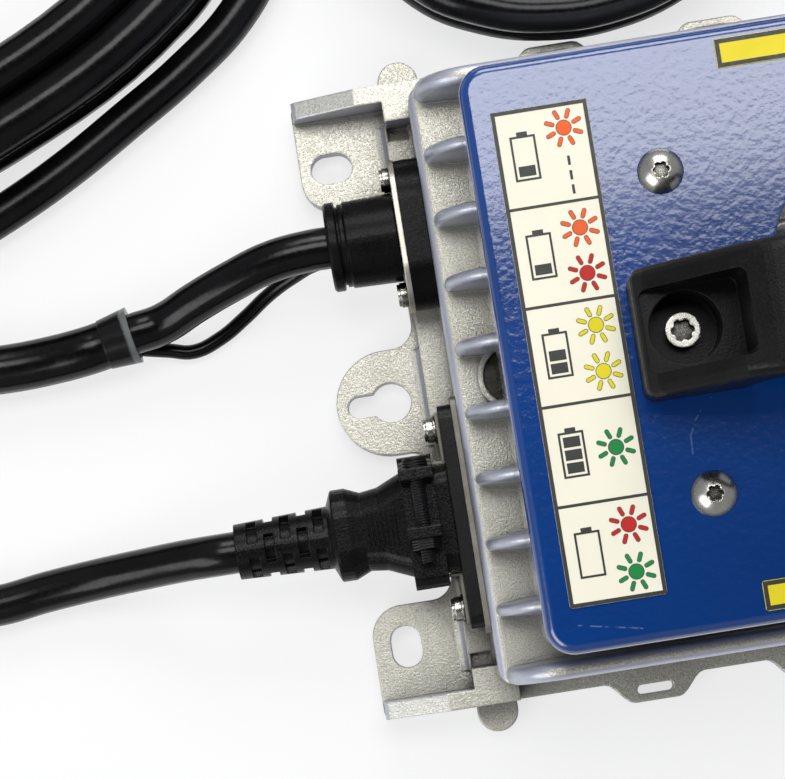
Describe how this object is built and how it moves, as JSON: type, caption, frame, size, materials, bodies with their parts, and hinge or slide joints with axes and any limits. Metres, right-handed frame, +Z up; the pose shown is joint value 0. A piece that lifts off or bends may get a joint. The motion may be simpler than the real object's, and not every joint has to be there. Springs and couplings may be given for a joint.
{
  "type": "golf cart charger",
  "caption": "Sealed on-board battery charger: finned cast housing with mounting tabs, folded blue cover with round air opening, carry handle, mains cord and battery lead.",
  "frame": {"origin": "centre of the mounting face, under the middle of the housing", "axes": "+X along the charger, away from its connectors; +Y across it, to the left when looking along +X; +Z up from the mounting face"},
  "size_m": [0.4448, 0.2827, 0.107],
  "materials": {
    "cast_housing": "as cast",
    "gasket": "matte",
    "base_sheet": "satin",
    "screw_steel": "zinc plated",
    "screw_black": "black zinc plated",
    "blue_cover": "powder coated, glossy",
    "handle_black": "matte, moulded",
    "label_cream": "printed film",
    "label_yellow": "printed film",
    "lens_olive": "tinted lens",
    "led_green": "clear tinted",
    "boot_rubber": "satin",
    "zinc_plate": "yellow zinc",
    "inlet_black": "satin",
    "contact_brass": "plated",
    "bright_plate": "zinc plated",
    "clamp_black": "satin",
    "connector_black": "moulded, satin gloss",
    "cord_black": "smooth jacket",
    "tie_black": "nylon",
    "cable_black": "smooth jacket",
    "sleeve_clear": "shrunk sleeve",
    "sleeve_black": "smooth sleeve",
    "connector_grey": "moulded",
    "board_green": "laminate",
    "ferrite": "sintered",
    "copper_wire": "enamelled",
    "capacitor_sleeve": "film",
    "chip_black": "moulded",
    "pad_white": "soft"
  },
  "bodies": {
    "root": {"heatsink_housing": "cast_housing", "base_gasket": "gasket", "base_plate": "base_sheet", "base_screws": "screw_steel", "top_cover": "blue_cover", "cover_screws": "screw_steel", "carry_handle": "handle_black", "handle_screws": "screw_steel", "status_label": "label_cream", "rear_label": "label_yellow", "front_label": "label_yellow", "status_window": "lens_olive", "status_led": "led_green", "dc_gland_boot": "boot_rubber", "dc_gland_plate": "zinc_plate", "dc_gland_screws": "screw_steel", "ac_inlet": "inlet_black", "inlet_pins": "contact_brass", "inlet_plate": "bright_plate", "inlet_screws": "screw_steel", "inlet_bracket": "bright_plate", "cord_clamp": "clamp_black", "clamp_screw": "screw_black", "clamp_nut": "screw_black", "ac_connector": "connector_black", "ac_cord": "cord_black", "ac_coil": "cord_black", "ac_tail": "cord_black", "ac_plug": "connector_black", "plug_pins": "contact_brass", "ac_tie": "tie_black", "dc_cable": "cable_black", "sleeve_end": "sleeve_clear", "dc_sleeve": "sleeve_black", "sense_wire": "cable_black", "dc_coil": "sleeve_black", "dc_tail": "sleeve_black", "dc_connector": "connector_grey", "dc_contacts": "contact_brass", "dc_tie": "tie_black", "circuit_board": "board_green", "board_screws": "screw_steel", "transformer_core": "ferrite", "transformer_winding": "copper_wire", "output_choke": "copper_wire", "bulk_capacitors": "capacitor_sleeve", "power_transistors": "chip_black", "heat_pad": "pad_white"}
  },
  "joints": []
}
